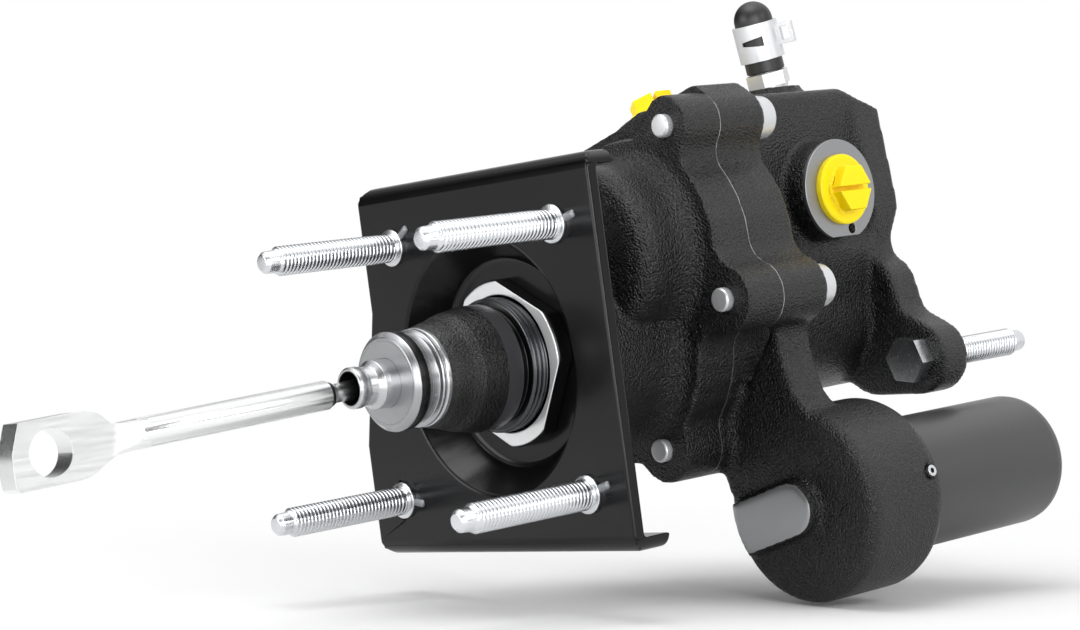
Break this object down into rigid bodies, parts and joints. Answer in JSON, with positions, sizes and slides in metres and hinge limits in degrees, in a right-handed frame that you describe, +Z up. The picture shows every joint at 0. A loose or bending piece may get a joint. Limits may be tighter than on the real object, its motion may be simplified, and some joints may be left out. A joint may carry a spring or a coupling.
{
  "type": "hydraulic brake booster",
  "caption": "Hydraulic brake booster: firewall bracket with studs, pedal push rod with an eye, cast valve body with a bolted scalloped flange, accumulator can and plugged ports.",
  "frame": {"origin": "on the main axis, in the bracket's firewall face", "axes": "+X to the right seen from the pedal, +Y from the pedal to the master cylinder, +Z up"},
  "size_m": [0.1604, 0.4023, 0.2102],
  "materials": {
    "bracket_paint": "black satin coat on pressed sheet steel",
    "stud_zinc": "bright zinc plate",
    "nut_steel": "machined bright front face",
    "cast_black": "black coat on a sand-textured casting, machined faces bright",
    "seal_rubber": "matt black",
    "rod_zinc": "bright zinc plate",
    "ground_steel": "ground",
    "gland_steel": "turned grey",
    "spring_steel": "oiled wire",
    "piston_alloy": "turned",
    "can_paint": "dark smooth coat on drawn steel",
    "seat_brass": "turned",
    "plug_plastic": "moulded yellow",
    "cap_rubber": "satin black"
  },
  "bodies": {
    "booster_body": {"mounting_bracket": "bracket_paint", "firewall_studs": "stud_zinc", "retaining_nut": "nut_steel", "booster_cover": "cast_black", "booster_housing": "cast_black", "cover_gasket": "seal_rubber", "cover_bolts": "stud_zinc", "neck_gland": "gland_steel", "plunger_seal": "seal_rubber", "gland_ring": "gland_steel", "output_guide": "gland_steel", "return_spring": "spring_steel", "spool_spring": "spring_steel", "spool_plug": "gland_steel", "accumulator_can": "can_paint", "accumulator_ring": "rod_zinc", "accumulator_valve": "seat_brass", "port_seats": "seat_brass", "return_fitting": "stud_zinc", "master_cylinder_bolts": "stud_zinc"},
    "piston_body": {"power_piston": "piston_alloy", "piston_seal": "seal_rubber", "output_rod": "ground_steel", "lever_pin": "ground_steel"},
    "plunger_body": {"input_plunger": "ground_steel"},
    "rod_body": {"input_rod": "rod_zinc"},
    "lever_body": {"control_lever": "ground_steel"},
    "spool_body": {"spool_valve": "ground_steel"},
    "gas_piston_body": {"accumulator_piston": "piston_alloy", "accumulator_seal": "seal_rubber"},
    "right_plug_body": {"port_plug_right": "plug_plastic"},
    "left_plug_body": {"port_plug_left": "plug_plastic"},
    "cap_body": {"return_cap": "cap_rubber", "cap_clamp": "stud_zinc"}
  },
  "joints": [
    {"name": "piston_slide", "type": "slide", "parent": "booster_body", "child": "piston_body", "axis": [0, 1, 0], "range_m": [0, 0.024], "stiffness_N_per_m": 4000, "springref_m": -0.02, "deforming": ["return_spring"]},
    {"name": "plunger_slide", "type": "slide", "parent": "piston_body", "child": "plunger_body", "axis": [0, 1, 0], "range_m": [0, 0.0008], "stiffness_N_per_m": 2000, "springref_m": -0.004},
    {"name": "rod_swing", "type": "hinge", "parent": "plunger_body", "child": "rod_body", "pos_m": [0, -0.0419, 0], "axis": [1, 0, 0], "range_deg": [-8, 4.5]},
    {"name": "lever_turn", "type": "hinge", "parent": "piston_body", "child": "lever_body", "pos_m": [-0.00543, 0.044, -0.01181], "axis": [-0.9087, 0, 0.4174], "range_deg": [0, 3.6]},
    {"name": "spool_slide", "type": "slide", "parent": "booster_body", "child": "spool_body", "axis": [0, 1, 0], "range_m": [0, 0.003], "stiffness_N_per_m": 500, "springref_m": -0.006, "deforming": ["spool_spring"]},
    {"name": "gas_piston_slide", "type": "slide", "parent": "booster_body", "child": "gas_piston_body", "axis": [0, 1, 0], "range_m": [0, 0.06], "stiffness_N_per_m": 2000, "springref_m": -0.03},
    {"name": "right_plug_pull", "type": "slide", "parent": "booster_body", "child": "right_plug_body", "axis": [1, 0, 0], "range_m": [0, 0.02]},
    {"name": "left_plug_pull", "type": "slide", "parent": "booster_body", "child": "left_plug_body", "axis": [-0.3746, 0, 0.9272], "range_m": [0, 0.02]},
    {"name": "cap_pull", "type": "slide", "parent": "booster_body", "child": "cap_body", "axis": [0, -0.1736, 0.9848], "range_m": [0, 0.025]}
  ],
  "couplings": [
    {"joint": "lever_turn", "follows": "plunger_slide", "rad_per_m": 76.923},
    {"joint": "spool_slide", "follows": "plunger_slide", "ratio": 3.7088}
  ]
}
